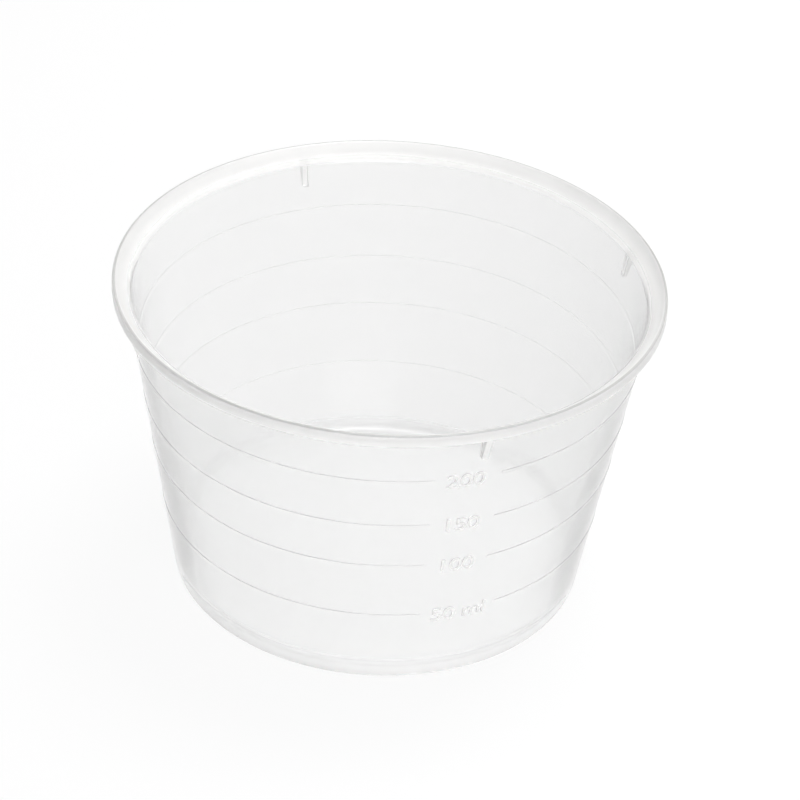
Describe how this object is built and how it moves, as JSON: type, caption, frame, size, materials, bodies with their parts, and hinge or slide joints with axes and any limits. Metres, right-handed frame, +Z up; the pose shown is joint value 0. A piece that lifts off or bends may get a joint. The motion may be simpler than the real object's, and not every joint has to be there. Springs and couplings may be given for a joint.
{
  "type": "surgical bowl",
  "caption": "Small round medical bowl moulded in translucent plastic, with a tapered wall, raised volume marks, and a flared rim stiffened from below by short upright ribs.",
  "frame": {"origin": "centre of the underside, on the table", "axes": "+Z up along the bowl's axis, -Y towards the rib that stands in the gap of the volume marks, +X to the right of it"},
  "size_m": [0.092, 0.092, 0.0563],
  "materials": {
    "polypropylene": "natural, uncoloured, translucent with a light haze"
  },
  "bodies": {
    "root": {"bowl": "polypropylene"}
  },
  "joints": []
}
